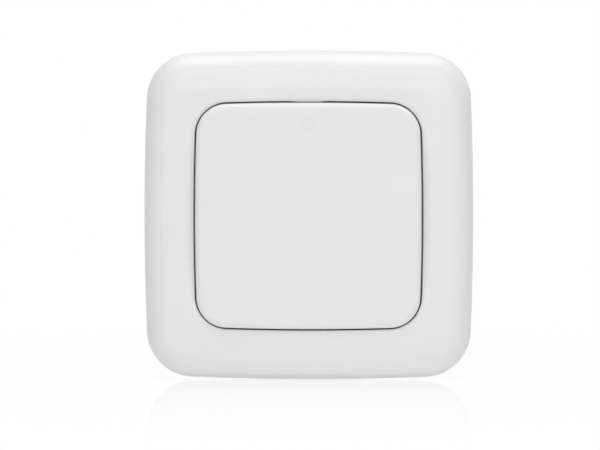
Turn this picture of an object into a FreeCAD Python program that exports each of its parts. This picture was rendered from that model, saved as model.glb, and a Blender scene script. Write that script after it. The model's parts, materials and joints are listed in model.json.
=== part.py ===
import FreeCAD, Part
import math
import os

# Wireless remote wall switch: one white rocker in a cushion-shaped cover frame.
# A wall plate is screwed or taped to the wall. A battery transmitter module hooks into it and
# traps the cover frame. The rocker turns on two stub pins in the module's carrier, and two sprung
# plungers under it hold it level and work the two push switches on the circuit board.
#
# Everything is modelled lying on its back: X to the right, Y up the wall, Z out of the wall, with
# Z = 0 at the wall. stand_up() then turns each piece so that the front faces -Y and +Z is up.

# Driving dimensions in millimetres

# Cover frame
FRAME_WIDTH = 80.0
FRAME_SIDE_RADIUS = 687.0
FRAME_CORNER_RADIUS = 11.4
FRAME_ROUNDOVER = 5.6
FRAME_CROWN_WIDTH = 8.8
FRAME_CROWN_DROP = 0.55
FRAME_WALL = 2.4
FRAME_RIM_LIFT = 0.4
FRAME_LIP_WIDTH = 1.6
FRAME_LIP_DEPTH = 0.7
FRAME_RIB = 1.2
FRAME_RIB_DEPTH = 4.5
COLLAR_WALL = 1.6
NIB_LENGTH = 7.6
NIB_REACH = 0.2
NIB_DROP = 1.0
NIB_HEIGHT = 3.0

# Tabs that trap the frame: the frame's own, and the carrier's in front of them
TAB_LENGTH = 36.0
TAB_THICKNESS = 1.2
FRAME_TAB_REACH = 1.4
CARRIER_TAB_GAP = 0.6

# Rocker
ROCKER_WIDTH = 55.0
ROCKER_SIDE_RADIUS = 619.0
ROCKER_CORNER_RADIUS = 7.4
ROCKER_GAP = 0.4
ROCKER_CORNER_EASE = 0.4
ROCKER_PROUD = 1.4
ROCKER_EDGE_BEVEL = 1.0
ROCKER_PLATE = 2.0
ROCKER_SKIRT = 1.5
ROCKER_SKIRT_DEPTH = 5.8
ROCKER_RIB = 1.0
ROCKER_RIB_DEPTH = 0.8
ROCKER_RIB_OFFSET = 7.0

# Rocker pivot: stub pins on the rocker's lugs, in the carrier's ears
PIN_RADIUS = 1.25
PIN_CLEARANCE = 0.05
PIVOT_RISE = 0.3
EAR_RADIUS = 2.0
LUG_THICKNESS = 1.8
LUG_RADIUS = 1.8
LUG_SIDE_GAP = 0.4
LUG_WINDOW_GAP = 0.6

# Wall plate
PLATE_THICKNESS = 2.0
PLATE_CLEARANCE = 1.6
SCREW_SPACING = 60.0
SCREW_SLOT_WIDTH = 4.2
SCREW_SLOT_LENGTH = 7.0
FRAME_POST_WIDTH = 1.8
FRAME_POST_LENGTH = 7.0
FRAME_POST_OFFSET = 15.0
TAPE_RECESS_LENGTH = 44.0
TAPE_RECESS_WIDTH = 11.0
TAPE_RECESS_DEPTH = 0.5
TAPE_RECESS_OFFSET = 11.5

# Hooks of the wall plate, which pass through the tray's floor
HOOK_RADIUS = 19.0
HOOK_WIDTH = 5.0
HOOK_STEM = 1.2
HOOK_BARB = 0.8
HOOK_BARB_HEIGHT = 1.2
HOOK_PLAY = 0.1
HOOK_SLOT_GAP = 0.25

# Transmitter module: tray and carrier, which snap together
MODULE_CLEARANCE = 1.1
MODULE_CORNER_RADIUS = 4.0
MODULE_WALL = 1.4
TRAY_FLOOR = 1.2
TRAY_WALL_HEIGHT = 3.0
CARRIER_PLATE = 1.4
CARRIER_ROOM = 0.7
BOARD_REST = 5.0
SNAP_OFFSET = 12.0
SNAP_WIDTH = 5.0
SNAP_THICKNESS = 1.0
SNAP_CATCH = 0.6
SNAP_CATCH_HEIGHT = 1.0
SNAP_GAP = 0.15

# Circuit board
BOARD_THICKNESS = 1.0
BOARD_GAP = 1.0
BOARD_NOTCH_GAP = 0.4

# Coin cell and its contacts
CELL_DIAMETER = 20.0
CELL_THICKNESS = 3.2
CELL_CAP_INSET = 1.3
CELL_CAP_HEIGHT = 0.4
CELL_GAP = 0.2
CELL_RIB_GAP = 0.3
CELL_RIB = 1.2
CELL_RIB_LENGTH = 8.0
CELL_RIB_HEIGHT = 2.4
CELL_CONTACT_ROOM = 0.6
CONTACT_THICKNESS = 0.2
CONTACT_WIDTH = 4.0
CONTACT_FOOT = 3.0
NEGATIVE_CONTACT_LENGTH = 13.0

# Push switches, one under each end of the rocker
SWITCH_ARM = 12.0
SWITCH_WIDTH = 6.2
SWITCH_HEIGHT = 2.2
SWITCH_FLOOR = 0.3
SWITCH_WALL = 0.8
SWITCH_COVER = 0.2
SWITCH_WINDOW_GAP = 0.4
PLUNGER_WIDTH = 3.2
PLUNGER_GAP = 0.1
PLUNGER_COLLAR_GAP = 0.2
PLUNGER_COLLAR_HEIGHT = 0.6
PLUNGER_RISE = 1.2
DOME_BASE_WIDTH = 4.0
DOME_TOP_WIDTH = 2.4
DOME_WALL = 0.25
POST_WIDTH = 2.4
POST_LENGTH = 1.15
POST_GAP = 0.05
TERMINAL_WIDTH = 0.8
TERMINAL_THICKNESS = 0.2
TERMINAL_RISE = 0.8
TERMINAL_REACH = 1.2
TERMINAL_PITCH = 4.0

# Small components on the board
CHIP_LENGTH = 5.0
CHIP_WIDTH = 4.0
CHIP_HEIGHT = 1.5
CHIP_LEAD_PITCH = 1.27
CHIP_LEAD_WIDTH = 0.4
CHIP_LEAD_REACH = 1.0
CHIP_LEAD_THICKNESS = 0.25
CHIP_LEADS_PER_SIDE = 4
RESONATOR_WIDTH = 5.0
RESONATOR_HEIGHT = 1.4
TRANSISTOR_LENGTH = 2.9
TRANSISTOR_WIDTH = 1.3
TRANSISTOR_HEIGHT = 1.0
TRANSISTOR_LEG = 0.6
RESISTOR_SIZE = (2.0, 1.25, 0.5)
RESISTOR_COUNT = 5
CAPACITOR_SIZE = (1.6, 0.8, 0.8)
CAPACITOR_COUNT = 4
LED_LENGTH = 1.6
LED_WIDTH = 0.8
LED_HEIGHT = 0.5
LED_INSET = 3.5
LED_WINDOW = 2.4
ANTENNA_STRIP = 0.8
ANTENNA_WIDTH = 1.6
ANTENNA_LENGTH = 14.0
ANTENNA_STAND_OFF = 1.8
ANTENNA_INSET = 2.0

# Levels and widths worked out from the driving dimensions

plate_top = PLATE_THICKNESS
floor_top = plate_top + TRAY_FLOOR
cell_bottom = floor_top + CELL_GAP
cell_top = cell_bottom + CELL_THICKNESS
board_bottom = cell_top + CELL_CONTACT_ROOM
board_top = board_bottom + BOARD_THICKNESS
switch_top = board_top + SWITCH_HEIGHT
cover_top = switch_top + SWITCH_COVER
plunger_top = cover_top + PLUNGER_RISE
post_tip = plunger_top + POST_GAP
rocker_inner = post_tip + POST_LENGTH
rocker_front = rocker_inner + ROCKER_PLATE
skirt_bottom = rocker_front - ROCKER_SKIRT_DEPTH
frame_front = rocker_front - ROCKER_PROUD
frame_underside = frame_front - FRAME_CROWN_DROP - FRAME_WALL
tray_top = floor_top + TRAY_WALL_HEIGHT
frame_tab_bottom = tray_top - TAB_THICKNESS
carrier_under = board_top + CARRIER_ROOM
carrier_top = carrier_under + CARRIER_PLATE
pivot_height = carrier_top + PIVOT_RISE
switch_floor_top = board_top + SWITCH_FLOOR
plunger_room = SWITCH_HEIGHT - SWITCH_FLOOR - PLUNGER_COLLAR_HEIGHT
plunger_foot = switch_floor_top + plunger_room / 2

opening_width = ROCKER_WIDTH + 2 * ROCKER_GAP
opening_side_radius = ROCKER_SIDE_RADIUS + ROCKER_GAP
opening_corner_radius = ROCKER_CORNER_RADIUS + ROCKER_GAP + ROCKER_CORNER_EASE
module_width = ROCKER_WIDTH - 2 * (ROCKER_SKIRT + MODULE_CLEARANCE)
module_inner = module_width - 2 * MODULE_WALL
board_width = module_inner - 2 * BOARD_GAP
cell_radius = CELL_DIAMETER / 2
hook_outer = HOOK_RADIUS + HOOK_STEM
switch_cavity = SWITCH_WIDTH - 2 * SWITCH_WALL
snap_face = module_inner / 2 - SNAP_CATCH - SNAP_GAP
snap_catch_bottom = tray_top - SNAP_CATCH_HEIGHT
module_inner_radius = MODULE_CORNER_RADIUS - MODULE_WALL
rest_place = (module_inner - module_inner_radius - BOARD_REST) / 2
lug_outer = module_inner / 2 - LUG_SIDE_GAP
lug_inner = lug_outer - LUG_THICKNESS
led_place = board_width / 2 - LED_INSET

X = FreeCAD.Vector(1, 0, 0)
Z = FreeCAD.Vector(0, 0, 1)
ORIGIN = FreeCAD.Vector(0, 0, 0)
OVERCUT = 1.0
FOUR_SIDES = (0, 90, 180, 270)
BOTH = (-1, 1)


# Building blocks


def corner_place(width, side_radius, corner_radius):
    """Distance of a corner arc's centre from the middle of a bowed square, along X and along Y."""
    centre = width / 2 - side_radius
    reach = side_radius - corner_radius
    return (centre + math.sqrt(2 * reach**2 - centre**2)) / 2


def bowed_square(width, side_radius, corner_radius, height):
    """Outline of a square with outward-bowed sides and round corners tangent to them."""
    centre = width / 2 - side_radius
    reach = side_radius - corner_radius
    corner = corner_place(width, side_radius, corner_radius)
    touch_x = centre + side_radius * (corner - centre) / reach
    touch_y = side_radius * corner / reach
    diagonal = corner + corner_radius / math.sqrt(2)
    side = ((touch_x, -touch_y), (width / 2, 0), (touch_x, touch_y))
    rounding = ((touch_x, touch_y), (diagonal, diagonal), (touch_y, touch_x))
    edges = []
    for angle in FOUR_SIDES:
        turn = FreeCAD.Rotation(Z, angle)
        for arc in (side, rounding):
            points = [turn.multVec(FreeCAD.Vector(x, y, height)) for x, y in arc]
            edges.append(Part.Arc(*points).toShape())
    return Part.Wire(edges)


def bowed_block(width, side_radius, corner_radius, bottom, top):
    outline = bowed_square(width, side_radius, corner_radius, bottom)
    return Part.Face(outline).extrude(Z * (top - bottom))


def frame_block(bottom, top, grow=0.0):
    """Solid on the frame's outline, moved outwards by grow all round."""
    return bowed_block(
        FRAME_WIDTH + 2 * grow, FRAME_SIDE_RADIUS + grow, FRAME_CORNER_RADIUS + grow, bottom, top
    )


def opening_block(bottom, top, grow=0.0):
    """Solid on the outline of the frame's opening, moved outwards by grow all round."""
    return bowed_block(
        opening_width + 2 * grow,
        opening_side_radius + grow,
        opening_corner_radius + grow,
        bottom,
        top,
    )


def rocker_block(bottom, top, grow=0.0):
    """Solid on the rocker's outline, moved outwards by grow all round."""
    return bowed_block(
        ROCKER_WIDTH + 2 * grow,
        ROCKER_SIDE_RADIUS + grow,
        ROCKER_CORNER_RADIUS + grow,
        bottom,
        top,
    )


def block(length, width, bottom, top, x=0.0, y=0.0):
    """Box centred on x, y, between two levels."""
    corner = FreeCAD.Vector(x - length / 2, y - width / 2, bottom)
    return Part.makeBox(length, width, top - bottom, corner)


def rounded_block(width, radius, bottom, top):
    """Square box with its four upright edges rounded."""
    box = block(width, width, bottom, top)
    upright = [e for e in box.Edges if abs(e.tangentAt(e.FirstParameter).z) > 0.9]
    return box.makeFillet(radius, upright)


def slot_block(length, width, bottom, top, x):
    """Round-ended slot lying along X, centred on x."""
    reach = (length - width) / 2
    ends = [
        Part.makeCylinder(width / 2, top - bottom, FreeCAD.Vector(x + side * reach, 0, bottom))
        for side in BOTH
    ]
    return block(2 * reach, width, bottom, top, x).multiFuse(ends)


def turned(shape, angle):
    """Copy of a shape, turned about Z."""
    copy = shape.copy()
    copy.rotate(ORIGIN, Z, angle)
    return copy


def around(shape, angles=FOUR_SIDES):
    return [turned(shape, angle) for angle in angles]


def paired(shape, offset, angles=FOUR_SIDES):
    """Copies of a shape on several sides, two to a side, offset each way along that side."""
    copies = []
    for side in BOTH:
        copy = shape.copy()
        copy.translate(FreeCAD.Vector(0, side * offset, 0))
        copies += around(copy, angles)
    return copies


def frustum(low_width, high_width, bottom, top, y):
    """Square block whose width changes evenly from the bottom to the top."""
    low, high = low_width / 2, high_width / 2
    wedge = Part.makeWedge(-low, 0, -low, -high, -high, low, top - bottom, low, high, high)
    wedge.rotate(ORIGIN, X, 90)
    wedge.translate(FreeCAD.Vector(0, y, bottom))
    return wedge


def prism_across(points, width, y=0.0):
    """Profile of x, z points, extruded along Y to a width centred on y."""
    corners = [FreeCAD.Vector(x, y - width / 2, z) for x, z in points]
    face = Part.Face(Part.makePolygon(corners + corners[:1]))
    return face.extrude(FreeCAD.Vector(0, width, 0))


def edges_at(shape, level, half_width):
    """Edges that lie at a level and within half_width of the middle."""
    found = []
    for edge in shape.Edges:
        box = edge.BoundBox
        flat = abs(box.ZMin - level) < 1e-4 and abs(box.ZMax - level) < 1e-4
        if flat and max(-box.XMin, box.XMax, -box.YMin, box.YMax) < half_width:
            found.append(edge)
    return found


def carried_round(section, width, side_radius, corner_radius):
    """Section carried round a bowed square. The function section gives its face for an arc's radius."""
    corner = corner_place(width, side_radius, corner_radius)
    bend = math.degrees(math.asin(corner / (side_radius - corner_radius)))
    side = turned(section(side_radius), -bend).revolve(ORIGIN, Z, 2 * bend)
    side.translate(X * (width / 2 - side_radius))
    rounding = turned(section(corner_radius), bend).revolve(ORIGIN, Z, 90 - 2 * bend)
    rounding.translate(FreeCAD.Vector(corner, corner, 0))
    return around(side) + around(rounding)


def stand_up(shape):
    """Turns a piece from lying on its back to standing, front towards -Y."""
    copy = shape.copy()
    copy.rotate(ORIGIN, X, 90)
    return copy


# Cover frame


def frame_section(radius):
    """Outer part of the frame's section: wall, roundover and a gentle rise to the front's peak."""
    slope = math.atan2(FRAME_CROWN_DROP, FRAME_CROWN_WIDTH)
    edge = frame_front - FRAME_CROWN_DROP
    middle_x = radius - FRAME_ROUNDOVER
    middle_z = edge + FRAME_ROUNDOVER * (math.tan(slope) - 1 / math.cos(slope))
    turn = math.pi / 2 - slope
    arc = [
        FreeCAD.Vector(
            middle_x + FRAME_ROUNDOVER * math.cos(angle),
            0,
            middle_z + FRAME_ROUNDOVER * math.sin(angle),
        )
        for angle in (0, turn / 2, turn)
    ]
    peak = FreeCAD.Vector(radius - FRAME_CROWN_WIDTH, 0, frame_front)
    inner_foot = FreeCAD.Vector(radius - FRAME_CROWN_WIDTH, 0, FRAME_RIM_LIFT)
    outer_foot = FreeCAD.Vector(radius, 0, FRAME_RIM_LIFT)
    straight = Part.makePolygon([arc[2], peak, inner_foot, outer_foot, arc[0]])
    return Part.Face(Part.Wire([Part.Arc(*arc).toShape()] + straight.Edges))


def lip_section(radius):
    """Wedge that takes the edge off the frame's opening."""
    top = frame_front + OVERCUT
    outline = [
        (radius, frame_front - FRAME_LIP_DEPTH),
        (radius + FRAME_LIP_WIDTH, frame_front),
        (radius + FRAME_LIP_WIDTH, top),
        (radius, top),
    ]
    corners = [FreeCAD.Vector(x, 0, z) for x, z in outline]
    return Part.Face(Part.makePolygon(corners + corners[:1]))


def frame_ribs(cavity):
    """Stiffening ribs from the collar to the outer wall, one at the middle of each side."""
    top = frame_underside
    length = FRAME_WIDTH / 2
    core = opening_block(0, frame_front, COLLAR_WALL / 2)
    rib = block(length, FRAME_RIB, top - FRAME_RIB_DEPTH, top + OVERCUT, length / 2)
    return [copy.common(cavity).cut(core) for copy in around(rib)]


def frame_tabs():
    """Tabs at the foot of the collar, one a side, that point inwards behind the carrier's tabs."""
    inner = opening_width / 2 - FRAME_TAB_REACH
    outer = opening_width / 2 + COLLAR_WALL / 2
    tab = block(outer - inner, TAB_LENGTH, frame_tab_bottom, tray_top, (inner + outer) / 2)
    return around(tab)


def frame_nib():
    """Low pad on the collar at the middle of the top side, which narrows the gap at the rocker."""
    inner = opening_width / 2 - NIB_REACH
    outer = opening_width / 2 + COLLAR_WALL / 2
    top = frame_front - NIB_DROP
    nib = block(outer - inner, NIB_LENGTH, top - NIB_HEIGHT, top, (inner + outer) / 2)
    return turned(nib, 90)


def cover_frame():
    """Cushion-shaped shell with a collar round the opening and tabs that the module traps."""
    core = frame_block(FRAME_RIM_LIFT, frame_front, -FRAME_CROWN_WIDTH)
    rim = carried_round(frame_section, FRAME_WIDTH, FRAME_SIDE_RADIUS, FRAME_CORNER_RADIUS)
    cavity = frame_block(FRAME_RIM_LIFT - OVERCUT, frame_underside, -FRAME_WALL)
    collar = opening_block(frame_tab_bottom, frame_underside, COLLAR_WALL)
    frame = core.multiFuse(rim).cut(cavity).multiFuse([collar] + frame_ribs(cavity))
    lip = carried_round(lip_section, opening_width, opening_side_radius, opening_corner_radius)
    frame = frame.cut([opening_block(0, frame_front + OVERCUT)] + lip)
    return frame.multiFuse(frame_tabs() + [frame_nib()]).removeSplitter()


# Wall plate


def plate_hook():
    """Cantilever hook on the plate, its barb pointing outwards over the tray's floor."""
    root = plate_top - PLATE_THICKNESS / 2
    barb_bottom = floor_top + HOOK_PLAY
    barb_top = barb_bottom + HOOK_BARB_HEIGHT
    outline = [
        (HOOK_RADIUS, root),
        (hook_outer, root),
        (hook_outer, barb_bottom),
        (hook_outer + HOOK_BARB, barb_bottom),
        (hook_outer, barb_top),
        (HOOK_RADIUS, barb_top),
    ]
    return prism_across(outline, HOOK_WIDTH)


def wall_plate():
    """Plate that is screwed or taped to the wall, with module hooks and posts under the frame."""
    post_place = (opening_width - FRAME_TAB_REACH) / 2
    post = block(FRAME_POST_WIDTH, FRAME_POST_LENGTH, plate_top, frame_tab_bottom, post_place)
    raised = around(plate_hook()) + paired(post, FRAME_POST_OFFSET)
    plate = frame_block(0, plate_top, -FRAME_WALL - PLATE_CLEARANCE).multiFuse(raised)

    slot = slot_block(
        SCREW_SLOT_LENGTH, SCREW_SLOT_WIDTH, -OVERCUT, plate_top + OVERCUT, SCREW_SPACING / 2
    )
    window_length = HOOK_BARB + HOOK_SLOT_GAP
    window_place = hook_outer + window_length / 2
    hook_window = block(window_length, HOOK_WIDTH, -OVERCUT, plate_top + OVERCUT, window_place)
    tape_recesses = [
        block(
            TAPE_RECESS_LENGTH,
            TAPE_RECESS_WIDTH,
            -OVERCUT,
            TAPE_RECESS_DEPTH,
            0,
            side * TAPE_RECESS_OFFSET,
        )
        for side in BOTH
    ]
    return plate.cut(around(slot) + around(hook_window) + tape_recesses).removeSplitter()


# Transmitter module


def board_rests(bottom, top):
    """Four corner blocks that hold the board, between two levels."""
    corner = block(BOARD_REST, BOARD_REST, bottom, top, rest_place, rest_place)
    return around(corner)


def snap_places(shape):
    """Copies of a snap piece, two at the top of the module and two at the bottom."""
    return paired(shape, SNAP_OFFSET, (90, 270))


def tray_catch():
    """Wedge on the tray's inner wall that a snap tab of the carrier hooks under."""
    wall = (module_inner + MODULE_WALL) / 2
    inner = module_inner / 2 - SNAP_CATCH
    outline = [
        (wall, snap_catch_bottom),
        (inner, snap_catch_bottom),
        (module_inner / 2, tray_top),
        (wall, tray_top),
    ]
    return prism_across(outline, SNAP_WIDTH)


def carrier_snap():
    """Tab that hangs from the carrier, its barb under the tray's catch."""
    inner = snap_face - SNAP_THICKNESS
    barb_top = snap_catch_bottom - SNAP_GAP
    outline = [
        (inner, carrier_under + CARRIER_PLATE / 2),
        (snap_face, carrier_under + CARRIER_PLATE / 2),
        (snap_face, barb_top),
        (snap_face + SNAP_CATCH, barb_top),
        (snap_face, floor_top + SNAP_GAP),
        (inner, floor_top + SNAP_GAP),
    ]
    return prism_across(outline, SNAP_WIDTH)


def module_tray():
    """Rear half of the module: cell ribs, board rests and slots for the plate's hooks."""
    tray = rounded_block(module_width, MODULE_CORNER_RADIUS, plate_top, tray_top)
    hollow = rounded_block(module_inner, module_inner_radius, floor_top, tray_top + OVERCUT)
    cell_rib = block(
        CELL_RIB,
        CELL_RIB_LENGTH,
        floor_top,
        floor_top + CELL_RIB_HEIGHT,
        cell_radius + CELL_RIB_GAP + CELL_RIB / 2,
    )
    cell_ribs = around(cell_rib, (45, 135, 225, 315))
    rests = board_rests(floor_top, board_bottom)
    tray = tray.cut(hollow).multiFuse(cell_ribs + rests + snap_places(tray_catch()))

    slot_inner = HOOK_RADIUS - HOOK_BARB - HOOK_SLOT_GAP
    slot_outer = hook_outer + HOOK_SLOT_GAP
    hook_slot = block(
        slot_outer - slot_inner,
        HOOK_WIDTH + 2 * HOOK_SLOT_GAP,
        plate_top - OVERCUT,
        floor_top + OVERCUT,
        (slot_inner + slot_outer) / 2,
    )
    return tray.cut(around(hook_slot)).removeSplitter()


def carrier_ear(side):
    """Upright ear on the carrier's side wall, rounded about the pivot."""
    middle = side * (module_width - MODULE_WALL) / 2
    start = FreeCAD.Vector(middle - MODULE_WALL / 2, 0, pivot_height)
    rounding = Part.makeCylinder(EAR_RADIUS, MODULE_WALL, start, X)
    return rounding.fuse(block(MODULE_WALL, 2 * EAR_RADIUS, carrier_under, pivot_height, middle))


def carrier_tabs():
    """Tabs on the carrier's walls, one a side, that reach out in front of the frame's tabs."""
    inner = (module_width - MODULE_WALL) / 2
    outer = opening_width / 2 - CARRIER_TAB_GAP
    tab_top = tray_top + TAB_THICKNESS
    tab = block(outer - inner, TAB_LENGTH, tray_top, tab_top, (inner + outer) / 2)
    return around(tab)


def rocker_carrier():
    """Front half of the module: tabs over the frame's, ears for the rocker, switch windows."""
    body = rounded_block(module_width, MODULE_CORNER_RADIUS, tray_top, carrier_top)
    hollow = rounded_block(module_inner, module_inner_radius, tray_top - OVERCUT, carrier_under)
    ears = [carrier_ear(side) for side in BOTH]
    rests = board_rests(board_top, carrier_under + CARRIER_PLATE / 2)
    body = body.cut(hollow).multiFuse(ears + carrier_tabs() + rests + snap_places(carrier_snap()))

    bore_start = FreeCAD.Vector(-module_width, 0, pivot_height)
    bore = Part.makeCylinder(PIN_RADIUS + PIN_CLEARANCE, 2 * module_width, bore_start, X)
    window_inner = lug_inner - LUG_WINDOW_GAP
    lug_window = block(
        module_inner / 2 - window_inner,
        2 * (LUG_RADIUS + LUG_WINDOW_GAP),
        board_top,
        pivot_height + EAR_RADIUS + OVERCUT,
        (module_inner / 2 + window_inner) / 2,
    )
    low, high = carrier_under - OVERCUT, carrier_top + OVERCUT
    switch_window = SWITCH_WIDTH + 2 * SWITCH_WINDOW_GAP
    switch_windows = [
        block(switch_window, switch_window, low, high, 0, side * SWITCH_ARM) for side in BOTH
    ]
    led_window = block(LED_WINDOW, LED_WINDOW, low, high, 0, led_place)
    cuts = [bore, led_window] + around(lug_window, (0, 180)) + switch_windows
    return body.cut(cuts).removeSplitter()


# Rocker


def rocker_lug():
    """Lug under the rocker with a stub pin that points outwards into the carrier's ear."""
    rounded_end = Part.makeCylinder(
        LUG_RADIUS, LUG_THICKNESS, FreeCAD.Vector(lug_inner, 0, pivot_height), X
    )
    middle = (lug_inner + lug_outer) / 2
    web = block(
        LUG_THICKNESS, 2 * LUG_RADIUS, pivot_height, rocker_inner + ROCKER_PLATE / 2, middle
    )
    pin = Part.makeCylinder(
        PIN_RADIUS, LUG_SIDE_GAP + MODULE_WALL, FreeCAD.Vector(lug_outer, 0, pivot_height), X
    )
    return rounded_end.multiFuse([web, pin])


def rocker():
    """Moulded cap with a bevelled front edge, a skirt, two ribs, cross-shaped posts and lugs."""
    cap = rocker_block(skirt_bottom, rocker_front)
    cap = cap.makeChamfer(ROCKER_EDGE_BEVEL, edges_at(cap, rocker_front, ROCKER_WIDTH))
    hollow = rocker_block(skirt_bottom - OVERCUT, rocker_inner, -ROCKER_SKIRT)
    root = rocker_inner + ROCKER_PLATE / 2
    rib_length = ROCKER_WIDTH - ROCKER_SKIRT
    rib_bottom = rocker_inner - ROCKER_RIB_DEPTH
    details = around(rocker_lug(), (0, 180))
    for side in BOTH:
        details.append(block(rib_length, ROCKER_RIB, rib_bottom, root, 0, side * ROCKER_RIB_OFFSET))
        arm = side * SWITCH_ARM
        details.append(block(POST_WIDTH, ROCKER_RIB, post_tip, root, 0, arm))
        details.append(block(ROCKER_RIB, POST_WIDTH, post_tip, root, 0, arm))
    return cap.cut(hollow).multiFuse(details).removeSplitter()


# Circuit board and what is soldered to it


def circuit_board():
    """Board with notches for the carrier's snap tabs."""
    board = block(board_width, board_width, board_bottom, board_top)
    notch_inner = snap_face - SNAP_THICKNESS - BOARD_NOTCH_GAP
    notch = block(
        board_width / 2 - notch_inner + OVERCUT,
        SNAP_WIDTH + 2 * BOARD_NOTCH_GAP,
        board_bottom - OVERCUT,
        board_top + OVERCUT,
        (board_width / 2 + notch_inner + OVERCUT) / 2,
    )
    return board.cut(snap_places(notch))


def switch_base(y):
    """Open black housing of one push switch."""
    base = block(SWITCH_WIDTH, SWITCH_WIDTH, board_top, switch_top, 0, y)
    cavity = block(switch_cavity, switch_cavity, switch_floor_top, switch_top + OVERCUT, 0, y)
    return base.cut(cavity)


def switch_cover(y):
    """Steel cover that holds the plunger in its housing."""
    cover = block(SWITCH_WIDTH, SWITCH_WIDTH, switch_top, cover_top, 0, y)
    hole = PLUNGER_WIDTH + 2 * PLUNGER_GAP
    return cover.cut(block(hole, hole, switch_top - OVERCUT, cover_top + OVERCUT, 0, y))


def switch_plunger(y):
    """Square plunger with a collar that stays under the cover."""
    collar = switch_cavity - 2 * PLUNGER_COLLAR_GAP
    stem = block(PLUNGER_WIDTH, PLUNGER_WIDTH, plunger_foot, plunger_top, 0, y)
    foot = block(collar, collar, plunger_foot, plunger_foot + PLUNGER_COLLAR_HEIGHT, 0, y)
    return stem.fuse(foot).removeSplitter()


def switch_dome(y):
    """Square rubber dome between the housing's floor and the plunger, hollow from below."""
    low, high = switch_floor_top, plunger_foot
    skin = frustum(DOME_BASE_WIDTH, DOME_TOP_WIDTH, low, high, y)
    inside = 2 * DOME_WALL
    return skin.cut(
        frustum(DOME_BASE_WIDTH - inside, DOME_TOP_WIDTH - inside, low, high - DOME_WALL, y)
    )


def switch_terminals(y):
    """Four bent legs from the sides of the housing to the board."""
    inner = SWITCH_WIDTH / 2
    outline = [
        (inner, board_top),
        (inner + TERMINAL_REACH, board_top),
        (inner + TERMINAL_REACH, board_top + TERMINAL_THICKNESS),
        (inner + TERMINAL_THICKNESS, board_top + TERMINAL_THICKNESS),
        (inner + TERMINAL_THICKNESS, board_top + TERMINAL_RISE),
        (inner, board_top + TERMINAL_RISE),
    ]
    legs = []
    for side in BOTH:
        leg = prism_across(outline, TERMINAL_WIDTH, side * TERMINAL_PITCH / 2)
        legs += around(leg, (0, 180))
    for leg in legs:
        leg.translate(FreeCAD.Vector(0, y, 0))
    return Part.makeCompound(legs)


def coin_cell():
    """Round cell: a can and a smaller cap in front."""
    cap_bottom = cell_top - CELL_CAP_HEIGHT
    can = Part.makeCylinder(cell_radius, cap_bottom - cell_bottom, Z * cell_bottom)
    cap = Part.makeCylinder(cell_radius - CELL_CAP_INSET, CELL_CAP_HEIGHT, Z * cap_bottom)
    return can.fuse(cap)


def cell_negative_contact():
    """Bowed leaf under the board that presses on the middle of the cell's cap."""
    half = NEGATIVE_CONTACT_LENGTH / 2
    ramp = half - CONTACT_FOOT
    pad = CONTACT_FOOT / 2
    low, high = cell_top + CONTACT_THICKNESS, board_bottom
    upper = [(half, high), (ramp, high), (pad, low), (-pad, low), (-ramp, high), (-half, high)]
    lower = [(x, z - CONTACT_THICKNESS) for x, z in reversed(upper)]
    return prism_across(upper + lower, CONTACT_WIDTH)


def cell_positive_contact():
    """Angled strip under the board whose leg bears on the side of the cell."""
    t = CONTACT_THICKNESS
    bend = cell_radius + 2 * t
    knee = cell_top - CELL_CAP_HEIGHT - t
    tip = (cell_bottom + cell_top) / 2
    outline = [
        (bend + CONTACT_FOOT, board_bottom),
        (bend, board_bottom),
        (cell_radius, knee),
        (cell_radius, tip),
        (cell_radius + t, tip),
        (cell_radius + t, knee),
        (bend + t, board_bottom - t),
        (bend + CONTACT_FOOT, board_bottom - t),
    ]
    return turned(prism_across(outline, CONTACT_WIDTH), 180)


def encoder_chip():
    """Encoder chip under the board, with flat leads on two sides."""
    place = -board_width / 4 - CHIP_WIDTH / 2
    bottom = board_bottom - CHIP_HEIGHT
    body = block(CHIP_WIDTH, CHIP_LENGTH, bottom, board_bottom, place, place)
    lead_length = CHIP_WIDTH + 2 * CHIP_LEAD_REACH
    lead_bottom = board_bottom - CHIP_LEAD_THICKNESS
    leads = []
    for number in range(CHIP_LEADS_PER_SIDE):
        y = place + (number - (CHIP_LEADS_PER_SIDE - 1) / 2) * CHIP_LEAD_PITCH
        leads.append(block(lead_length, CHIP_LEAD_WIDTH, lead_bottom, board_bottom, place, y))
    return body.multiFuse(leads).removeSplitter()


def radio_resonator():
    """Square metal-lidded resonator that sets the transmitting frequency."""
    place = board_width / 4 + RESONATOR_WIDTH / 2
    bottom = board_bottom - RESONATOR_HEIGHT
    return block(RESONATOR_WIDTH, RESONATOR_WIDTH, bottom, board_bottom, place, place)


def radio_transistor():
    """Three-legged transistor that drives the antenna."""
    x, y = -board_width / 4, board_width / 3
    bottom = board_bottom - TRANSISTOR_HEIGHT
    body = block(TRANSISTOR_LENGTH, TRANSISTOR_WIDTH, bottom, board_bottom, x, y)
    leg_bottom = board_bottom - CHIP_LEAD_THICKNESS
    reach = TRANSISTOR_WIDTH / 2 + TRANSISTOR_LEG
    spread = (TRANSISTOR_LENGTH - CHIP_LEAD_WIDTH) / 3
    legs = [
        block(CHIP_LEAD_WIDTH, reach, leg_bottom, board_bottom, x + dx, y + dy * reach / 2)
        for dx, dy in ((-spread, -1), (spread, -1), (0, 1))
    ]
    return body.multiFuse(legs).removeSplitter()


def chip_row(size, count, y):
    """Row of small chips under the board, side by side along X."""
    length, width, height = size
    pitch = 2 * width
    chips = []
    for number in range(count):
        x = (number - (count - 1) / 2) * pitch
        chips.append(block(width, length, board_bottom - height, board_bottom, x, y))
    return Part.makeCompound(chips)


def chip_resistors():
    return chip_row(RESISTOR_SIZE, RESISTOR_COUNT, -board_width / 3)


def chip_capacitors():
    return chip_row(CAPACITOR_SIZE, CAPACITOR_COUNT, board_width / 3)


def indicator_led():
    """Surface-mounted lamp on the front of the board, under its window in the carrier."""
    return block(LED_LENGTH, LED_WIDTH, board_top, board_top + LED_HEIGHT, 0, led_place)


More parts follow.
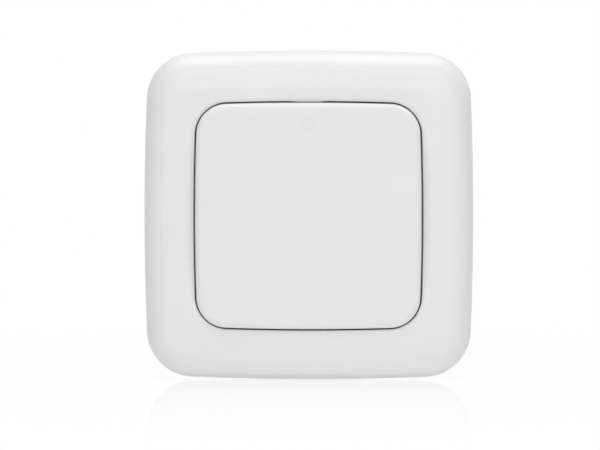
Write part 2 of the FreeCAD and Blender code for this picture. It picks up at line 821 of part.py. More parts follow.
def loop_antenna():
    """Bent copper strip that stands off the back of the board on two soldered feet."""
    half = ANTENNA_LENGTH / 2
    low = board_bottom - ANTENNA_STAND_OFF
    t = ANTENNA_STRIP
    outline = [
        (-half, board_bottom),
        (-half, low),
        (half, low),
        (half, board_bottom),
        (half - t, board_bottom),
        (half - t, low + t),
        (t - half, low + t),
        (t - half, board_bottom),
    ]
    return prism_across(outline, ANTENNA_WIDTH, board_width / 2 - ANTENNA_INSET)


# Assembly


def all_pieces():
    pieces = {
        "wall_plate": wall_plate(),
        "cover_frame": cover_frame(),
        "module_tray": module_tray(),
        "rocker_carrier": rocker_carrier(),
        "rocker": rocker(),
        "circuit_board": circuit_board(),
        "coin_cell": coin_cell(),
        "cell_negative_contact": cell_negative_contact(),
        "cell_positive_contact": cell_positive_contact(),
        "encoder_chip": encoder_chip(),
        "radio_resonator": radio_resonator(),
        "radio_transistor": radio_transistor(),
        "chip_resistors": chip_resistors(),
        "chip_capacitors": chip_capacitors(),
        "indicator_led": indicator_led(),
        "loop_antenna": loop_antenna(),
    }
    for name, side in (("upper", 1), ("lower", -1)):
        y = side * SWITCH_ARM
        pieces[f"{name}_switch_base"] = switch_base(y)
        pieces[f"{name}_switch_cover"] = switch_cover(y)
        pieces[f"{name}_switch_plunger"] = switch_plunger(y)
        pieces[f"{name}_switch_dome"] = switch_dome(y)
        pieces[f"{name}_switch_terminals"] = switch_terminals(y)
    return pieces


os.makedirs("parts", exist_ok=True)
for node, shape in all_pieces().items():
    stand_up(shape).exportStep(f"parts/{node}.step")
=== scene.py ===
import json
import math

import bpy
import numpy as np
from mathutils import Matrix, Vector


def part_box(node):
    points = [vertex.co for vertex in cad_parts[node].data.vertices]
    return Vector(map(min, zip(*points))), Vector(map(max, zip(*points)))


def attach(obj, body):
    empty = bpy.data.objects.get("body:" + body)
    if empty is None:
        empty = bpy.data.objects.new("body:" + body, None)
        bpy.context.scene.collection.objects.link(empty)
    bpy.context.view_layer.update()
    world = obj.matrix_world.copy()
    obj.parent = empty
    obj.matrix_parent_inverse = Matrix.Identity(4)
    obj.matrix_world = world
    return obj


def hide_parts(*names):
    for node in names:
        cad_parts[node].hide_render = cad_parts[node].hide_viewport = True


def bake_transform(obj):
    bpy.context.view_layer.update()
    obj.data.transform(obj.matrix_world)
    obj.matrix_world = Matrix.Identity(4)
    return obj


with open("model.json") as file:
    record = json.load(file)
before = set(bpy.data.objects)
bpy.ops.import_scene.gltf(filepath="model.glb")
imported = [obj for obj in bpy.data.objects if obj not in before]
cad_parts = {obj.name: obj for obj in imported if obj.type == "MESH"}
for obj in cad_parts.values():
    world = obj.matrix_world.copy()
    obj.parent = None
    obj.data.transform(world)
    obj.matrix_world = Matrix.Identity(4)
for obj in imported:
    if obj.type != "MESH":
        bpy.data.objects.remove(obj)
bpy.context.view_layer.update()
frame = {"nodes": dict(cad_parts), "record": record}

# White wall switch with one rocker, standing upright on a pale floor.
# Metres. X is to the right, Z is up and the front faces -Y.
# A depth is a distance out from the wall.

# Cover frame: outline, section, and the ribs, tabs and nib on it
FRAME_SIDE_RADIUS = 0.687
FRAME_CORNER_RADIUS = 0.0114
FRAME_ROUNDOVER = 0.0056
FRAME_CROWN_WIDTH = 0.0088
FRAME_CROWN_DROP = 0.00055
FRAME_WALL = 0.0024
FRAME_DRAW_IN = 0.0003
FRAME_LIP_CORNER = 0.0009
FRAME_LIP_SIDES = 0.0026
FRAME_LIP_REACH = 0.022
FRAME_LIP_TURN = math.radians(45)
FRAME_RIB = 0.0012
FRAME_RIB_DEPTH = 0.0045
COLLAR_WALL = 0.0016
COLLAR_FOOT = 0.005
NIB_LENGTH = 0.0076
NIB_FLANK = 0.0024
NIB_REACH = 0.0002
NIB_DROP = 0.00067
NIB_HEIGHT = 0.003
TAB_LENGTH = 0.036
TAB_THICKNESS = 0.0012
TAB_REACH = 0.0014
WELD = 0.0002

# Rocker: outline, section, and what is moulded on its underside
ROCKER_SIDE_RADIUS = 0.619
ROCKER_CORNER_RADIUS = 0.0074
ROCKER_GAP = 0.0004
OPENING_CORNER_RADIUS = 0.00805
ROCKER_EDGE_RADIUS = 0.0013
ROCKER_PLATE = 0.002
ROCKER_SKIRT = 0.0015
ROCKER_SKIRT_DEPTH = 0.0058
ROCKER_RIB = 0.001
ROCKER_RIB_DEPTH = 0.0008
ROCKER_RIB_OFFSET = 0.007
POST_WIDTH = 0.0024
POST_LENGTH = 0.00115
SWITCH_ARM = 0.012
LUG_THICKNESS = 0.0018
LUG_RADIUS = 0.0018
LUG_OUTER = 0.0231
PIN_RADIUS = 0.00125
PIN_LENGTH = 0.0018
PIVOT_DEPTH = 0.0106

# Rubber domes under the plungers: rounding as a share of the width
DOME_TOP_WIDTH = 0.0024
DOME_WALL = 0.00025
DOME_SIDE_RADIUS = 20.0
DOME_CORNER_RADIUS = 0.08

# Raised off and on signs on the rocker's face
SIGN_HEIGHT = 0.0001
SIGN_SINK = 0.0002
SIGN_LINE = 0.00045
OFF_RING_RADIUS = 0.00155
OFF_RING_PLACE = 0.0226
ON_BAR_LENGTH = 0.0021
ON_BAR_PLACE = -0.0250

# Fineness of the meshes, and the turn from which an edge is sharp
SIDE_STEPS = 40
CORNER_STEPS = 24
ARC_STEPS = 20
FACE_STEPS = 8
CIRCLE_STEPS = 64
SHARP_ANGLE = math.radians(35)

# Photograph: 600 x 450, with the frame's middle and width in its pixels
PHOTO_WIDTH = 600
PHOTO_HEIGHT = 450
FRAME_MIDDLE_PIXEL = (308.8, 214.9)
FRAME_WIDTH_PIXELS = 328.9
CAMERA_AZIMUTH = math.radians(1.2)
CAMERA_ELEVATION = math.radians(2.6)
CAMERA_DISTANCE = 2.0
SENSOR_WIDTH = 36.0

# Plastics: noise features to a metre, and how far they vary the colour and the gloss
CLOUD_SCALE = 60.0
CLOUD_TINT = 0.015
GLOSS_SCALE = 400.0
GLOSS_SPREAD = 0.08
GRAIN_DETAIL = 2.0
GRAIN_STRENGTH = 0.25

# Metals: the same for fine drawn lines, and how deep they are
LINE_SCALE = 2500.0
LINE_DARK = 0.82
LINE_LIGHT = 1.08
LINE_SPREAD = 0.3
LINE_STRENGTH = 0.2
LINE_DEPTH = 0.00002

# Circuit board: bands of copper under the mask
TRACK_SCALE = 220.0
TRACK_WAVE = 6.0
TRACK_DETAIL = 1.0
TRACK_STRENGTH = 0.3
TRACK_DEPTH = 0.00003
MASK_SCALE = 900.0
MASK_ROUGHNESS = (0.3, 0.45)

# Noise keeps mostly between these values
NOISE_LOW = 0.3
NOISE_HIGH = 0.7

# Floor: how it mirrors the object, and the share of glow in its light on the object
FLOOR_REACH = 3.0
FLOOR_COLOUR = (0.9, 0.9, 0.9, 1)
FLOOR_GLOW = 0.3
MIRROR_ROUGHNESS = 0.04
MIRROR_SHARE = 0.8
MIRROR_STRENGTH = 0.25
MIRROR_REACH = 0.25

# Light: strength of the world, and place, size and power of each lamp
WORLD_LIGHT = 0.28
TOP_SOFTBOX = ((0.05, -0.1, 0.8), (0.9, 0.7), 4.8)
FRONT_SOFTBOX = ((0.08, -1.4, 0.4), (1.2, 0.8), 6.35)
PLAIN_WHITE = (1, 1, 1, 1)

frame_low, frame_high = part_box("cover_frame")
rocker_low, rocker_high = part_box("rocker")
frame_width = frame_high.x - frame_low.x
frame_front = -frame_low.y
frame_rim = -frame_high.y
frame_underside = frame_front - FRAME_CROWN_DROP - FRAME_WALL
crown_slope = math.atan2(FRAME_CROWN_DROP, FRAME_CROWN_WIDTH)
frame_shoulder = frame_front - FRAME_CROWN_DROP
frame_shoulder += FRAME_ROUNDOVER * (math.tan(crown_slope) - 1 / math.cos(crown_slope))
rocker_width = rocker_high.x - rocker_low.x
rocker_front = -rocker_low.y - SIGN_HEIGHT
rocker_inner = -rocker_low.y - ROCKER_PLATE
skirt_bottom = -rocker_low.y - ROCKER_SKIRT_DEPTH
floor_level = frame_low.z


# Outlines and surfaces


def four_turns(part):
    """Part of an outline, repeated at each quarter turn about the middle."""
    quarter = np.array([[0.0, 1.0], [-1.0, 0.0]])
    return np.concatenate([part @ np.linalg.matrix_power(quarter, k) for k in range(4)])


def bowed_square(width, side_radius, corner_radius):
    """Points and outward normals round a square with bowed sides and round corners.

    Each side is an arc of side_radius whose centre lies beyond the middle. Each corner is an arc of
    corner_radius about the point that is as far from the two neighbouring side centres as the
    difference of the radii, so the arcs meet tangent.
    """
    centre = width / 2 - side_radius
    reach = side_radius - corner_radius
    corner = (centre + math.sqrt(2 * reach**2 - centre**2)) / 2
    bend = math.asin(corner / reach)
    along = np.linspace(-bend, bend, SIDE_STEPS, endpoint=False)
    round_corner = np.linspace(bend, math.pi / 2 - bend, CORNER_STEPS, endpoint=False)
    angle = np.concatenate([along, round_corner])
    radius = np.repeat([side_radius, corner_radius], [SIDE_STEPS, CORNER_STEPS])
    middle_x = np.repeat([centre, corner], [SIDE_STEPS, CORNER_STEPS])
    middle_y = np.repeat([0.0, corner], [SIDE_STEPS, CORNER_STEPS])
    normal = np.stack([np.cos(angle), np.sin(angle)], axis=1)
    point = np.stack([middle_x, middle_y], axis=1) + normal * radius[:, None]
    return four_turns(point), four_turns(normal)


def level(outline, depths):
    """Rows of an outline, one for each depth, or one outline for each depth."""
    depths = np.atleast_1d(depths)
    flat = np.broadcast_to(outline, (len(depths),) + outline.shape[-2:])
    rows = np.empty(flat.shape[:2] + (3,))
    rows[..., 0] = flat[..., 0]
    rows[..., 1] = -depths[:, None]
    rows[..., 2] = flat[..., 1]
    return rows


def grown(outline, amounts):
    """An outline moved outwards along its normals, once for each amount."""
    points, normals = outline
    return points + np.atleast_1d(amounts)[:, None, None] * normals


def between(start, end, steps):
    """Outlines that go evenly from one to another."""
    share = np.linspace(0, 1, steps)[:, None, None]
    return start + share * (end - start)


def quarter_circle(steps):
    """Sine and cosine of angles from 0 to 90 degrees."""
    angle = np.linspace(0, math.pi / 2, steps)
    return np.sin(angle), np.cos(angle)


def tube_faces(rows, closed=False):
    """Quads between neighbouring rows of a grid that closes on itself along each row."""
    count, around = rows.shape[:2]
    steps = np.arange(count if closed else count - 1)[:, None]
    places = np.arange(around)[None, :]
    after = (places + 1) % around
    above = (steps + 1) % count
    corners = (steps, places), (steps, after), (above, after), (above, places)
    return np.stack([i * around + j for i, j in corners], axis=-1).reshape(-1, 4)


def closed_tube(rows):
    """A section that closes on itself, carried round a closed path.

    Each row holds one point of the section all the way round the path.
    """
    return rows.reshape(-1, 3), [tube_faces(rows, closed=True)]


def closed_cup(rows):
    """Rows of closed outlines from one end to the other.

    A fan of triangles about the middle of the first and of the last row closes each end.
    """
    count, around = rows.shape[:2]
    points = np.concatenate([rows.reshape(-1, 3), [rows[0].mean(0), rows[-1].mean(0)]])
    place = np.arange(around)
    after = (place + 1) % around
    middle = np.full(around, count * around)
    last_row = (count - 1) * around
    first = np.stack([middle, after, place], axis=1)
    last = np.stack([last_row + place, last_row + after, middle + 1], axis=1)
    return points, [tube_faces(rows), first, last]


def slab(low, high):
    """A box between two corners, each given as x, depth and height."""
    outline = np.array([(low[0], low[2]), (high[0], low[2]), (high[0], high[2]), (low[0], high[2])])
    return closed_cup(level(outline, [low[1], high[1]]))


def along_x(start, end, y, z):
    """An outline in Y and Z, carried from one x to another."""
    rows = np.empty((2, len(y), 3))
    rows[..., 0] = np.array(sorted((start, end)))[:, None]
    rows[..., 1] = y
    rows[..., 2] = z
    return closed_cup(rows)


def turned(surface, quarters):
    """A surface turned about the Y axis by quarter turns."""
    points, faces = surface
    x, y, z = points.T
    for _ in range(quarters):
        x, z = -z, x
    return np.stack([x, y, z], axis=1), faces


def piece(name, surfaces, body):
    """One object from several closed surfaces, smooth apart from its sharp edges."""
    points, faces, start = [], [], 0
    for surface_points, face_blocks in surfaces:
        points.append(surface_points)
        for block in face_blocks:
            faces += (start + block).tolist()
        start += len(surface_points)
    mesh = bpy.data.meshes.new(name)
    mesh.from_pydata(np.concatenate(points).tolist(), [], faces)
    mesh.shade_smooth()
    mesh.set_sharp_from_angle(angle=SHARP_ANGLE)
    made = bpy.data.objects.new(name, mesh)
    bpy.context.scene.collection.objects.link(made)
    if body:
        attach(made, body)
    return made


# Cover frame


def frame_crown(outline):
    """Rows from the outer wall to the front's peak.

    An arc of the roundover's radius, tangent to the wall and to the front, then the front's slope.
    """
    angle = np.linspace(0, math.pi / 2 - crown_slope, ARC_STEPS)
    arc_inset = FRAME_ROUNDOVER * (1 - np.cos(angle))
    arc_depth = frame_shoulder + FRAME_ROUNDOVER * np.sin(angle)
    slope_inset = np.linspace(arc_inset[-1], FRAME_CROWN_WIDTH, FACE_STEPS)
    slope_depth = np.linspace(arc_depth[-1], frame_front, FACE_STEPS)
    inset = np.concatenate([arc_inset, slope_inset[1:]])
    depth = np.concatenate([arc_depth, slope_depth[1:]])
    return level(grown(outline, -inset), depth)


def frame_lip(outline):
    """Rows of an arc over the edge of the opening, which ends at the lip's turn.

    Its width is largest at the middle of the left and right sides and falls with the square of the
    distance from there, down to its width at the corners, which the top and bottom have too.
    """
    points, normals = outline
    across, up = np.abs(points).T
    swell = np.where(across > up, np.clip(1 - (up / FRAME_LIP_REACH) ** 2, 0, 1), 0)
    width = FRAME_LIP_CORNER + (FRAME_LIP_SIDES - FRAME_LIP_CORNER) * swell
    angle = np.linspace(0, FRAME_LIP_TURN, ARC_STEPS)[:, None]
    shift = width * (1 - np.sin(angle) / math.sin(FRAME_LIP_TURN))
    rows = level(points + shift[..., None] * normals, np.full(ARC_STEPS, frame_front))
    rows[..., 1] += width * (1 - np.cos(angle)) / math.sin(FRAME_LIP_TURN)
    return rows


def frame_shell():
    """Section of the frame carried round its bowed outline.

    From the rim up the outer wall, which draws in a little towards the rim, over the crown to its
    peak, across to the opening, over the lip, down the collar, round its foot, along the underside
    and down the inner wall.
    """
    outer = bowed_square(frame_width, FRAME_SIDE_RADIUS, FRAME_CORNER_RADIUS)
    opening = bowed_square(
        rocker_width + 2 * ROCKER_GAP, ROCKER_SIDE_RADIUS + ROCKER_GAP, OPENING_CORNER_RADIUS
    )
    wall = np.linspace(0, 1, FACE_STEPS)
    wall_depth = frame_rim + wall * (frame_shoulder - frame_rim)
    crown = frame_crown(outer)
    lip = frame_lip(opening)
    rows = [
        level(grown(outer, FRAME_DRAW_IN * (wall - 1)), wall_depth),
        crown[1:],
        between(crown[-1], lip[0], FACE_STEPS)[1:],
        lip[1:],
        level(opening[0], COLLAR_FOOT),
        level(grown(opening, COLLAR_WALL), [COLLAR_FOOT]),
        level(grown(opening, COLLAR_WALL), [frame_underside]),
        level(grown(outer, -FRAME_WALL), [frame_underside]),
        level(grown(outer, -FRAME_WALL), [frame_rim]),
    ]
    return closed_tube(np.concatenate(rows))


def frame_details():
    """On each side a rib from the collar to the outer wall and a tab at its foot, and the nib."""
    opening_half = rocker_width / 2 + ROCKER_GAP
    collar_middle = opening_half + COLLAR_WALL / 2
    rib = slab(
        (collar_middle, frame_underside - FRAME_RIB_DEPTH, -FRAME_RIB / 2),
        (frame_width / 2 - FRAME_WALL + WELD, frame_underside + WELD, FRAME_RIB / 2),
    )
    tab = slab(
        (opening_half - TAB_REACH, COLLAR_FOOT, -TAB_LENGTH / 2),
        (collar_middle, COLLAR_FOOT + TAB_THICKNESS, TAB_LENGTH / 2),
    )
    details = [turned(shape, quarters) for quarters in range(4) for shape in (rib, tab)]
    return details + [frame_nib(opening_half, collar_middle)]


def frame_nib(opening_half, root):
    """Outline of the nib at the top of the opening, carried through its height.

    Its reach into the opening falls off at each end by half a cosine wave over a flank, and is half
    as large at the nib's length.
    """
    half = (NIB_LENGTH + NIB_FLANK) / 2
    along = np.linspace(-half, half, CIRCLE_STEPS)
    fall = np.clip((np.abs(along) - half) / NIB_FLANK + 1, 0, 1)
    edge = opening_half - NIB_REACH * (1 + np.cos(math.pi * fall)) / 2
    ends = np.array([(half, root), (-half, root)])
    outline = np.concatenate([np.stack([along, edge], axis=1), ends])
    nib_top = frame_front - NIB_DROP
    return closed_cup(level(outline, [nib_top - NIB_HEIGHT, nib_top]))


# Rocker


def rocker_cap():
    """Section of the rocker carried round its bowed outline.

    From the middle of the underside to the skirt, down and round the skirt, up the outside, over a
    quarter circle and across the face to its middle.
    """
    outline = bowed_square(rocker_width, ROCKER_SIDE_RADIUS, ROCKER_CORNER_RADIUS)
    inside = grown(outline, -ROCKER_SKIRT)[0]
    face = grown(outline, -ROCKER_EDGE_RADIUS)[0]
    shoulder = rocker_front - ROCKER_EDGE_RADIUS
    rise, run = quarter_circle(ARC_STEPS)
    edge = grown(outline, ROCKER_EDGE_RADIUS * (run - 1))
    spread = np.linspace(0, 1, FACE_STEPS + 1)[1:, None, None]
    rows = [
        level(spread * inside, np.full(FACE_STEPS, rocker_inner)),
        level(inside, [skirt_bottom]),
        level(outline[0], np.linspace(skirt_bottom, shoulder, FACE_STEPS)),
        level(edge, shoulder + ROCKER_EDGE_RADIUS * rise)[1:],
        level(spread[::-1] * face, np.full(FACE_STEPS, rocker_front))[1:],
    ]
    return closed_cup(np.concatenate(rows))


def rocker_details():
    """Ribs, cross-shaped posts over the switches, and lugs with their stub pins."""
    root = rocker_inner + ROCKER_PLATE / 2
    post_tip = rocker_inner - POST_LENGTH
    rib_foot = rocker_inner - ROCKER_RIB_DEPTH
    rib_half = (rocker_width - ROCKER_SKIRT) / 2
    thin, wide = ROCKER_RIB / 2, POST_WIDTH / 2
    details = []
    for side in (-1, 1):
        rib = side * ROCKER_RIB_OFFSET
        arm = side * SWITCH_ARM
        details += [
            slab((-rib_half, rib_foot, rib - thin), (rib_half, root, rib + thin)),
            closed_cup(level(cross_outline(thin, wide) + (0, arm), [post_tip, root])),
            lug(side * (LUG_OUTER - LUG_THICKNESS), side * LUG_OUTER, root),
            stub_pin(side * (LUG_OUTER - WELD), side * (LUG_OUTER + PIN_LENGTH)),
        ]
    return details


def cross_outline(thin, wide):
    """Outline of an upright cross from half the width and half the length of its arms."""
    return four_turns(np.array([(wide, -thin), (wide, thin), (thin, thin)]))


def lug(start, end, root):
    """Straight sides from the root to half a circle about the pivot, carried along X."""
    angle = np.linspace(-math.pi / 2, math.pi / 2, ARC_STEPS)
    y = np.concatenate([[-root], LUG_RADIUS * np.cos(angle) - PIVOT_DEPTH, [-root]])
    z = np.concatenate([[-LUG_RADIUS], LUG_RADIUS * np.sin(angle), [LUG_RADIUS]])
    return along_x(start, end, y, z)


def stub_pin(start, end):
    """A circle about the pivot, carried along X."""
    angle = np.linspace(0, 2 * math.pi, CIRCLE_STEPS, endpoint=False)
    return along_x(start, end, PIN_RADIUS * np.cos(angle) - PIVOT_DEPTH, PIN_RADIUS * np.sin(angle))


def off_ring():
    """Half-round bead carried round a circle, its flat base sunk in the rocker's face."""
    around = np.linspace(0, 2 * math.pi, CIRCLE_STEPS, endpoint=False)
    circle = np.stack([np.cos(around), np.sin(around)], axis=1)
    bead = np.linspace(0, math.pi, ARC_STEPS)
    radius = OFF_RING_RADIUS + SIGN_LINE / 2 * np.cos(bead)
    radius = np.concatenate([radius[:1], radius, radius[-1:]])
    height = np.concatenate([[-SIGN_SINK], SIGN_HEIGHT * np.sin(bead), [-SIGN_SINK]])
    rows = level(radius[:, None, None] * circle, rocker_front + height)
    rows[..., 2] += OFF_RING_PLACE
    return closed_tube(rows)


def on_bar():
    """Round-ended bar: its outline shrinks by a cosine as its height grows by a sine."""
    around = np.linspace(0, 2 * math.pi, CIRCLE_STEPS, endpoint=False)
    normal = np.stack([np.cos(around), np.sin(around)], axis=1)
    reach = (ON_BAR_LENGTH - SIGN_LINE) / 2
    ridge = np.stack([np.zeros(CIRCLE_STEPS), np.where(around < math.pi, reach, -reach)], axis=1)
    rise, run = quarter_circle(ARC_STEPS)
    radius = np.concatenate([[1.0], run[:-1]]) * SIGN_LINE / 2
    height = np.concatenate([[-SIGN_SINK], SIGN_HEIGHT * rise[:-1]])
    rows = level(ridge + radius[:, None, None] * normal, rocker_front + height)
    rows[..., 2] += ON_BAR_PLACE
    return closed_cup(rows)


# Rubber domes under the plungers


def dome_skin(low, high):
    """Square rubber dome, hollow from below, inside the given box.

    Rounded squares shrink evenly from the foot to the top, once for the inside, from its middle to
    its foot, and once for the outside, from its foot to its middle.
    """
    foot, top = -high.y, -low.y
    rise = np.linspace(0, 1, FACE_STEPS)
    foot_width = high.x - low.x
    outer_width = foot_width + (DOME_TOP_WIDTH - foot_width) * rise
    inner_width = outer_width - 2 * DOME_WALL
    unit = bowed_square(1.0, DOME_SIDE_RADIUS, DOME_CORNER_RADIUS)[0]
    spread = rise[1:-1, None, None]
    even = np.ones(len(spread))
    outer = level(outer_width[:, None, None] * unit, foot + rise * (top - foot))
    inner = level(inner_width[:, None, None] * unit, foot + rise * (top - foot - DOME_WALL))
    under = level(spread * inner_width[-1] * unit, (top - DOME_WALL) * even)
    over = level(spread[::-1] * outer_width[-1] * unit, top * even)
    rows = np.concatenate([under, inner[::-1], outer, over])
    rows[..., 2] += (low.z + high.z) / 2
    return closed_cup(rows)


def add_dome(end):
    """A dome in place of the CAD dome, which is hidden."""
    low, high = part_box(f"{end}_switch_dome")
    surface = dome_skin(low, high)
    made = piece(f"{end}_switch_dome_skin", [surface], None)
    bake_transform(made)
    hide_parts(f"{end}_switch_dome")
    return made


# Materials


class Shader:
    """A material's node tree with one surface shader, and short ways to add to it."""

    def __init__(self, name):
        self.material = bpy.data.materials.new(name)
        self.material.use_nodes = True
        self.tree = self.material.node_tree
        self.surface = self.tree.nodes["Principled BSDF"]
        self.place = self.add("ShaderNodeTexCoord").outputs["Object"]

    def add(self, kind, **settings):
        """A new node of a kind, with its settings."""
        node = self.tree.nodes.new(kind)
        for setting, value in settings.items():
            setattr(node, setting, value)
        return node

    def link(self, output, target):
        self.tree.links.new(output, target)

    def noise(self, scale, detail=4.0, stretch=(1, 1, 1)):
        """Noise in object space, with so many features to a metre along each stretched axis."""
        mapping = self.add("ShaderNodeMapping")
        mapping.inputs["Scale"].default_value = stretch
        self.link(self.place, mapping.inputs["Vector"])
        texture = self.add("ShaderNodeTexNoise")
        texture.inputs["Scale"].default_value = scale
        texture.inputs["Detail"].default_value = detail
        self.link(mapping.outputs["Vector"], texture.inputs["Vector"])
        return texture.outputs["Fac"]

    def ramp(self, factor, stops):
        """Colours spread over a factor, from pairs of position and colour."""
        node = self.add("ShaderNodeValToRGB")
        elements = node.color_ramp.elements
        while len(elements) < len(stops):
            elements.new(1.0)
        for element, (position, colour) in zip(elements, stops):
            element.position = position
            element.color = (*colour, 1.0)
        self.link(factor, node.inputs["Fac"])
        return node.outputs["Color"]

    def spread(self, factor, low, high):
        """Noise turned into a value between low and high."""
        node = self.add("ShaderNodeMapRange")
        node.inputs["From Min"].default_value = NOISE_LOW
        node.inputs["From Max"].default_value = NOISE_HIGH
        node.inputs["To Min"].default_value = low
        node.inputs["To Max"].default_value = high
        self.link(factor, node.inputs["Value"])
        return node.outputs["Result"]

    def bump(self, height, strength, distance):
        """Bumps from a height, with the distance between its lowest and its highest."""
        node = self.add("ShaderNodeBump")
        node.inputs["Strength"].default_value = strength
        node.inputs["Distance"].default_value = distance
        self.link(height, node.inputs["Height"])
        self.link(node.outputs["Normal"], self.surface.inputs["Normal"])


def shade(colour, factor):
    """A colour made darker or lighter."""
    return tuple(min(1.0, part * factor) for part in colour)


def moulded_plastic(name, colour, roughness, grain, depth):
    """Plastic with faint clouding, uneven gloss and a grain of so many bumps to a metre."""
    shader = Shader(name)
    dark, light = shade(colour, 1 - CLOUD_TINT), shade(colour, 1 + CLOUD_TINT)
    cloud = shader.ramp(shader.noise(CLOUD_SCALE), [(NOISE_LOW, dark), (NOISE_HIGH, light)])
    smooth, rough = roughness * (1 - GLOSS_SPREAD), roughness * (1 + GLOSS_SPREAD)
    gloss = shader.spread(shader.noise(GLOSS_SCALE), smooth, rough)
    shader.link(cloud, shader.surface.inputs["Base Color"])
    shader.link(gloss, shader.surface.inputs["Roughness"])
    shader.bump(shader.noise(grain, detail=GRAIN_DETAIL), GRAIN_STRENGTH, depth)
    return shader.material


def worked_metal(name, colour, roughness, stretch):
    """Metal with fine drawn lines: noise stretched along one axis tints it and sets its gloss."""
    shader = Shader(name)
    shader.surface.inputs["Metallic"].default_value = 1.0
    lines = shader.noise(LINE_SCALE, stretch=stretch)
    dark, light = shade(colour, LINE_DARK), shade(colour, LINE_LIGHT)
    tint = shader.ramp(lines, [(NOISE_LOW, dark), (NOISE_HIGH, light)])
    smooth, rough = roughness * (1 - LINE_SPREAD), roughness * (1 + LINE_SPREAD)
    shader.link(tint, shader.surface.inputs["Base Color"])
    shader.link(shader.spread(lines, smooth, rough), shader.surface.inputs["Roughness"])
    shader.bump(lines, LINE_STRENGTH, LINE_DEPTH)
    return shader.material


def board_laminate(name, colour):
    """Green board: bands of wavy noise make lighter copper tracks under the mask."""
    shader = Shader(name)
    tracks = shader.add("ShaderNodeTexWave", wave_type="BANDS", bands_direction="DIAGONAL")
    tracks.inputs["Scale"].default_value = TRACK_SCALE
    tracks.inputs["Distortion"].default_value = TRACK_WAVE
    tracks.inputs["Detail"].default_value = TRACK_DETAIL
    shader.link(shader.place, tracks.inputs["Vector"])
    stops = [(0.0, shade(colour, 0.8)), (0.55, colour), (0.7, shade(colour, 1.7))]
    shader.link(shader.ramp(tracks.outputs["Fac"], stops), shader.surface.inputs["Base Color"])
    gloss = shader.spread(shader.noise(MASK_SCALE), *MASK_ROUGHNESS)
    shader.link(gloss, shader.surface.inputs["Roughness"])
    shader.bump(tracks.outputs["Fac"], TRACK_STRENGTH, TRACK_DEPTH)
    return shader.material


WHITE = (0.82, 0.82, 0.82)
LONG_Z = (1.0, 1.0, 0.05)

# Each plastic has its colour, roughness, bumps to a metre and their height.
# Each metal has its colour, roughness and the stretch of its lines.
finishes = {
    "frame_plastic": moulded_plastic("frame_white", WHITE, 0.33, 6000.0, 0.00002),
    "rocker_plastic": moulded_plastic("rocker_white", WHITE, 0.36, 6000.0, 0.00002),
    "plate_plastic": moulded_plastic("plate_white", (0.78, 0.78, 0.77), 0.5, 4500.0, 0.00005),
    "module_plastic": moulded_plastic("module_white", (0.72, 0.72, 0.71), 0.5, 4500.0, 0.00005),
    "plunger_plastic": moulded_plastic("plunger_white", (0.72, 0.72, 0.68), 0.4, 9000.0, 0.00002),
    "chip_black": moulded_plastic("chip_black", (0.03, 0.03, 0.033), 0.55, 12000.0, 0.00003),
    "switch_black": moulded_plastic("switch_black", (0.04, 0.04, 0.04), 0.5, 12000.0, 0.00003),
    "capacitor_tan": moulded_plastic("capacitor_tan", (0.42, 0.29, 0.17), 0.5, 12000.0, 0.00003),
    "led_lens": moulded_plastic("led_resin", (0.7, 0.2, 0.15), 0.15, 9000.0, 0.00001),
    "dome_rubber": moulded_plastic("dome_rubber", (0.16, 0.16, 0.165), 0.75, 9000.0, 0.00003),
    "cell_steel": worked_metal("cell_steel", (0.66, 0.66, 0.64), 0.32, LONG_Z),
    "contact_strip": worked_metal("contact_strip", (0.7, 0.67, 0.6), 0.25, LONG_Z),
    "switch_steel": worked_metal("switch_steel", (0.62, 0.62, 0.62), 0.3, LONG_Z),
    "resonator_metal": worked_metal("resonator_metal", (0.7, 0.68, 0.62), 0.25, LONG_Z),
    "antenna_copper": worked_metal("antenna_copper", (0.78, 0.43, 0.28), 0.3, LONG_Z),
    "board_laminate": board_laminate("board_green", (0.03, 0.2, 0.08)),
}


def finish_piece(made, slot):
    """Give an object the finish of a material slot."""
    made.data.materials.clear()
    made.data.materials.append(finishes[slot])


# Stage, light and camera


def seen_directly(shader_tree):
    """1 for camera, mirror and see-through rays, which show the background, and 0 for the rest."""
    path = shader_tree.nodes.new("ShaderNodeLightPath")
    total = path.outputs["Is Camera Ray"]
    for name in ("Is Glossy Ray", "Is Transmission Ray"):
        larger = shader_tree.nodes.new("ShaderNodeMath")
        larger.operation = "MAXIMUM"
        shader_tree.links.new(total, larger.inputs[0])
        shader_tree.links.new(path.outputs[name], larger.inputs[1])
        total = larger.outputs["Value"]
    return total


def mix_shaders(tree, factor, first, second):
    """Two shaders mixed by a number or by a node's output, which is the share of the second."""
    mix = tree.nodes.new("ShaderNodeMixShader")
    if isinstance(factor, float):
        mix.inputs["Fac"].default_value = factor
    else:
        tree.links.new(factor, mix.inputs["Fac"])
    tree.links.new(first, mix.inputs[1])
    tree.links.new(second, mix.inputs[2])
    return mix.outputs["Shader"]


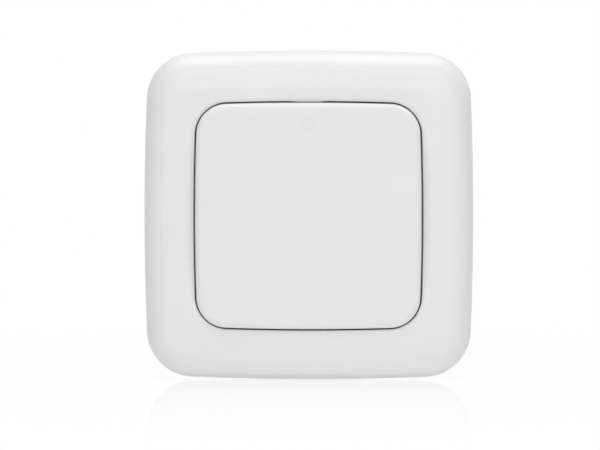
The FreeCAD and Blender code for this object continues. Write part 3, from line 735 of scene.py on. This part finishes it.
def floor_material():
    """White floor with a soft mirror and shadow near the object, which fade out with distance.

    For the light that it throws on the object, it is a matt table that glows a little.
    """
    shader = Shader("white_floor")
    tree = shader.tree
    white = shader.add("ShaderNodeEmission").outputs["Emission"]
    matt = shader.add("ShaderNodeBsdfDiffuse")
    matt.inputs["Color"].default_value = FLOOR_COLOUR
    mirror = shader.add("ShaderNodeBsdfGlossy")
    mirror.inputs["Color"].default_value = PLAIN_WHITE
    mirror.inputs["Roughness"].default_value = MIRROR_ROUGHNESS
    surface = mix_shaders(tree, MIRROR_SHARE, matt.outputs["BSDF"], mirror.outputs["BSDF"])
    length = shader.add("ShaderNodeVectorMath", operation="LENGTH")
    shader.link(shader.place, length.inputs[0])
    fade = shader.add("ShaderNodeMapRange", interpolation_type="SMOOTHSTEP")
    fade.inputs["From Min"].default_value = 0.0
    fade.inputs["From Max"].default_value = MIRROR_REACH
    fade.inputs["To Min"].default_value = MIRROR_STRENGTH
    fade.inputs["To Max"].default_value = 0.0
    shader.link(length.outputs["Value"], fade.inputs["Value"])
    shown = mix_shaders(tree, fade.outputs["Result"], white, surface)
    lit_table = mix_shaders(tree, FLOOR_GLOW, matt.outputs["BSDF"], white)
    both = mix_shaders(tree, seen_directly(tree), lit_table, shown)
    shader.link(both, tree.nodes["Material Output"].inputs["Surface"])
    return shader.material


def add_floor():
    """A wide square floor under the frame's lower edge."""
    corners = FLOOR_REACH * np.array([(-1, -1, 0), (1, -1, 0), (1, 1, 0), (-1, 1, 0)])
    mesh = bpy.data.meshes.new("floor")
    mesh.from_pydata(corners.tolist(), [], [(0, 1, 2, 3)])
    mesh.materials.append(floor_material())
    floor = bpy.data.objects.new("floor", mesh)
    floor.location.z = floor_level
    bpy.context.scene.collection.objects.link(floor)


def add_world():
    """White to look at, and a weaker plain white light on the object."""
    world = bpy.data.worlds.new("studio")
    world.use_nodes = True
    bpy.context.scene.world = world
    tree = world.node_tree
    light = tree.nodes["Background"]
    light.inputs["Color"].default_value = PLAIN_WHITE
    light.inputs["Strength"].default_value = WORLD_LIGHT
    white = tree.nodes.new("ShaderNodeBackground")
    white.inputs["Color"].default_value = PLAIN_WHITE
    shown = mix_shaders(
        tree, seen_directly(tree), light.outputs["Background"], white.outputs["Background"]
    )
    tree.links.new(shown, tree.nodes["World Output"].inputs["Surface"])


def add_softbox(name, place, size, power):
    """A rectangular lamp that faces the middle of the object."""
    lamp = bpy.data.lights.new(name, "AREA")
    lamp.shape = "RECTANGLE"
    lamp.size, lamp.size_y = size
    lamp.energy = power
    softbox = bpy.data.objects.new(name, lamp)
    direction = Vector(place)
    softbox.location = direction
    softbox.rotation_euler = direction.to_track_quat("Z", "Y").to_euler()
    bpy.context.scene.collection.objects.link(softbox)


def add_camera():
    """Camera a little above and to the right, moved in its own picture plane.

    The move puts the frame's middle on the pixel that it has in the photograph.
    """
    pixel = frame_width / FRAME_WIDTH_PIXELS
    data = bpy.data.cameras.new("camera")
    data.sensor_width = SENSOR_WIDTH
    data.lens = SENSOR_WIDTH * CAMERA_DISTANCE / (PHOTO_WIDTH * pixel)
    turn = Matrix.Rotation(CAMERA_AZIMUTH, 3, "Z")
    turn = turn @ Matrix.Rotation(math.pi / 2 - CAMERA_ELEVATION, 3, "X")
    shift = Vector(
        (
            (PHOTO_WIDTH / 2 - FRAME_MIDDLE_PIXEL[0]) * pixel,
            (FRAME_MIDDLE_PIXEL[1] - PHOTO_HEIGHT / 2) * pixel,
            CAMERA_DISTANCE,
        )
    )
    camera = bpy.data.objects.new("camera", data)
    camera.location = Vector((0, -frame_shoulder, 0)) + turn @ shift
    camera.rotation_euler = turn.to_euler()
    bpy.context.scene.collection.objects.link(camera)
    bpy.context.scene.camera = camera


# Assembly

for part in frame["record"]["subparts"]:
    finish_piece(frame["nodes"][part["node"]], part["material_slot"])

cover = piece("cover_frame_moulding", [frame_shell()] + frame_details(), "base")
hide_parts("cover_frame")
cap = piece("rocker_moulding", [rocker_cap()] + rocker_details(), "rocker")
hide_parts("rocker")
ring = piece("rocker_off_ring", [off_ring()], "rocker")
bar = piece("rocker_on_bar", [on_bar()], "rocker")
for end in ("upper", "lower"):
    finish_piece(add_dome(end), "dome_rubber")
finish_piece(cover, "frame_plastic")
for made in (cap, ring, bar):
    finish_piece(made, "rocker_plastic")

add_floor()
add_world()
add_softbox("top_softbox", *TOP_SOFTBOX)
add_softbox("front_softbox", *FRONT_SOFTBOX)
add_camera()
bpy.context.scene.view_settings.view_transform = "Standard"
